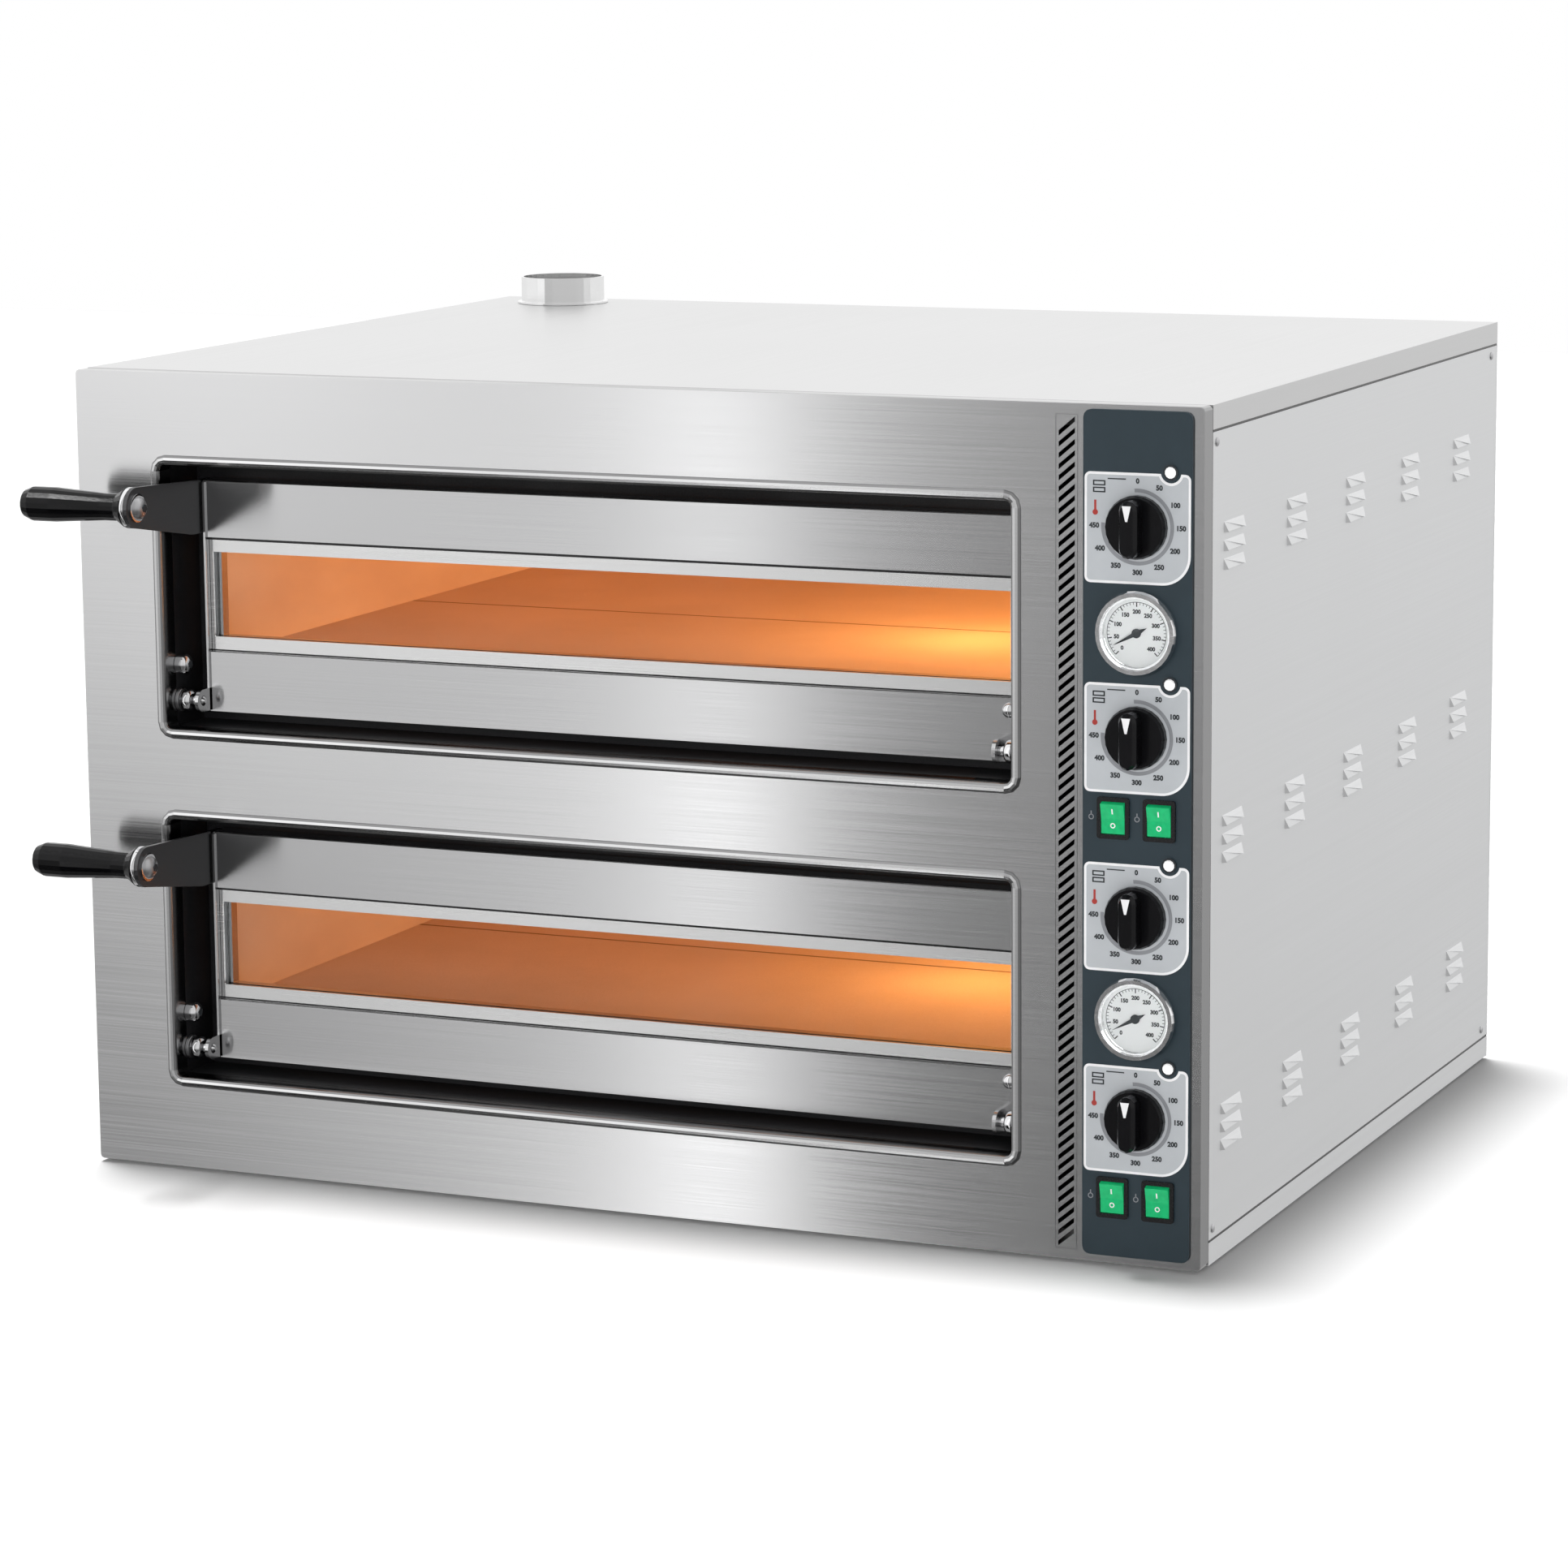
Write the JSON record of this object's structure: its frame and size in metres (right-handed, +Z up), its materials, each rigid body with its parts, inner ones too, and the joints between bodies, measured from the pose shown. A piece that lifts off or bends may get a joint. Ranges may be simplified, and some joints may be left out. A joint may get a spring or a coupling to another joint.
{
  "type": "countertop pizza oven",
  "caption": "Stacked electric deck oven in a folded steel casing with drop-down glazed doors, stone floors and a side control column.",
  "frame": {"origin": "centre of the flat underside of the base tray", "axes": "+X to the right seen from the front, -Y out of the front, +Z up"},
  "size_m": [0.9531, 0.858, 0.664],
  "materials": {
    "brushed_steel": "brushed stainless sheet",
    "bright_steel": "polished steel",
    "dark_steel": "dark painted steel",
    "black_enamel": "black heat-proof enamel",
    "fascia_enamel": "satin blue-grey film",
    "black_plastic": "glossy black moulding",
    "control_body": "grey moulding",
    "green_lens": "translucent green lens",
    "lamp_white": "milky lens",
    "lamp_glass": "frosted lamp glass",
    "clear_glass": "clear glass",
    "fire_stone": "fired baking stone",
    "heater_sheath": "oxidised heater sheath"
  },
  "bodies": {
    "casing": {"base_tray": "brushed_steel", "front_panel": "brushed_steel", "vent_grille": "brushed_steel", "left_side_panel": "brushed_steel", "right_side_panel": "brushed_steel", "rear_panel": "brushed_steel", "top_cover": "brushed_steel", "flue_collar": "brushed_steel", "control_fascia": "fascia_enamel", "cable_gland": "black_plastic", "lower_chamber_liner": "black_enamel", "lower_deck_stone": "fire_stone", "lower_floor_heater": "heater_sheath", "lower_roof_heater": "heater_sheath", "lower_chamber_lamp": "lamp_glass", "lower_left_hinge_pin": "bright_steel", "lower_right_hinge_pin": "bright_steel", "lower_thermometer_case": "bright_steel", "lower_thermometer_lens": "clear_glass", "upper_chamber_liner": "black_enamel", "upper_deck_stone": "fire_stone", "upper_floor_heater": "heater_sheath", "upper_roof_heater": "heater_sheath", "upper_chamber_lamp": "lamp_glass", "upper_left_hinge_pin": "bright_steel", "upper_right_hinge_pin": "bright_steel", "upper_thermometer_case": "bright_steel", "upper_thermometer_lens": "clear_glass", "thermostat_1": "control_body", "pilot_lamp_1": "lamp_white", "thermostat_2": "control_body", "pilot_lamp_2": "lamp_white", "thermostat_3": "control_body", "pilot_lamp_3": "lamp_white", "thermostat_4": "control_body", "pilot_lamp_4": "lamp_white", "switch_housing_1": "black_plastic", "switch_housing_2": "black_plastic", "switch_housing_3": "black_plastic", "switch_housing_4": "black_plastic"},
    "lower_door": {"lower_door_frame": "brushed_steel", "lower_door_glass": "clear_glass", "lower_glazing_frame": "bright_steel", "lower_handle_bracket": "dark_steel", "lower_handle_grip": "black_plastic"},
    "upper_door": {"upper_door_frame": "brushed_steel", "upper_door_glass": "clear_glass", "upper_glazing_frame": "bright_steel", "upper_handle_bracket": "dark_steel", "upper_handle_grip": "black_plastic"},
    "knob_1": {"thermostat_knob_1": "black_plastic"},
    "knob_2": {"thermostat_knob_2": "black_plastic"},
    "knob_3": {"thermostat_knob_3": "black_plastic"},
    "knob_4": {"thermostat_knob_4": "black_plastic"},
    "lower_needle": {"lower_thermometer_needle": "black_plastic"},
    "upper_needle": {"upper_thermometer_needle": "black_plastic"},
    "rocker_1": {"switch_rocker_1": "green_lens"},
    "rocker_2": {"switch_rocker_2": "green_lens"},
    "rocker_3": {"switch_rocker_3": "green_lens"},
    "rocker_4": {"switch_rocker_4": "green_lens"}
  },
  "joints": [
    {"name": "lower_door_hinge", "type": "hinge", "parent": "casing", "child": "lower_door", "pos_m": [0, -0.3605, 0.094], "axis": [1, 0, 0], "range_deg": [0, 85]},
    {"name": "upper_door_hinge", "type": "hinge", "parent": "casing", "child": "upper_door", "pos_m": [0, -0.3605, 0.377], "axis": [1, 0, 0], "range_deg": [0, 85]},
    {"name": "knob_1_turn", "type": "hinge", "parent": "casing", "child": "knob_1", "pos_m": [0.42, -0.3851, 0.112], "axis": [0, 1, 0], "range_deg": [0, 300]},
    {"name": "knob_2_turn", "type": "hinge", "parent": "casing", "child": "knob_2", "pos_m": [0.42, -0.3851, 0.264], "axis": [0, 1, 0], "range_deg": [0, 300]},
    {"name": "knob_3_turn", "type": "hinge", "parent": "casing", "child": "knob_3", "pos_m": [0.42, -0.3851, 0.3975], "axis": [0, 1, 0], "range_deg": [0, 300]},
    {"name": "knob_4_turn", "type": "hinge", "parent": "casing", "child": "knob_4", "pos_m": [0.42, -0.3851, 0.552], "axis": [0, 1, 0], "range_deg": [0, 300]},
    {"name": "lower_needle_turn", "type": "hinge", "parent": "casing", "child": "lower_needle", "pos_m": [0.42, -0.3861, 0.188], "axis": [0, 1, 0], "range_deg": [0, 240]},
    {"name": "upper_needle_turn", "type": "hinge", "parent": "casing", "child": "upper_needle", "pos_m": [0.42, -0.3861, 0.4745], "axis": [0, 1, 0], "range_deg": [0, 240]},
    {"name": "rocker_1_tilt", "type": "hinge", "parent": "casing", "child": "rocker_1", "pos_m": [0.4022, -0.3838, 0.051], "axis": [-1, 0, 0], "range_deg": [0, 16]},
    {"name": "rocker_2_tilt", "type": "hinge", "parent": "casing", "child": "rocker_2", "pos_m": [0.4378, -0.3838, 0.051], "axis": [-1, 0, 0], "range_deg": [0, 16]},
    {"name": "rocker_3_tilt", "type": "hinge", "parent": "casing", "child": "rocker_3", "pos_m": [0.4022, -0.3838, 0.337], "axis": [-1, 0, 0], "range_deg": [0, 16]},
    {"name": "rocker_4_tilt", "type": "hinge", "parent": "casing", "child": "rocker_4", "pos_m": [0.4378, -0.3838, 0.337], "axis": [-1, 0, 0], "range_deg": [0, 16]}
  ]
}
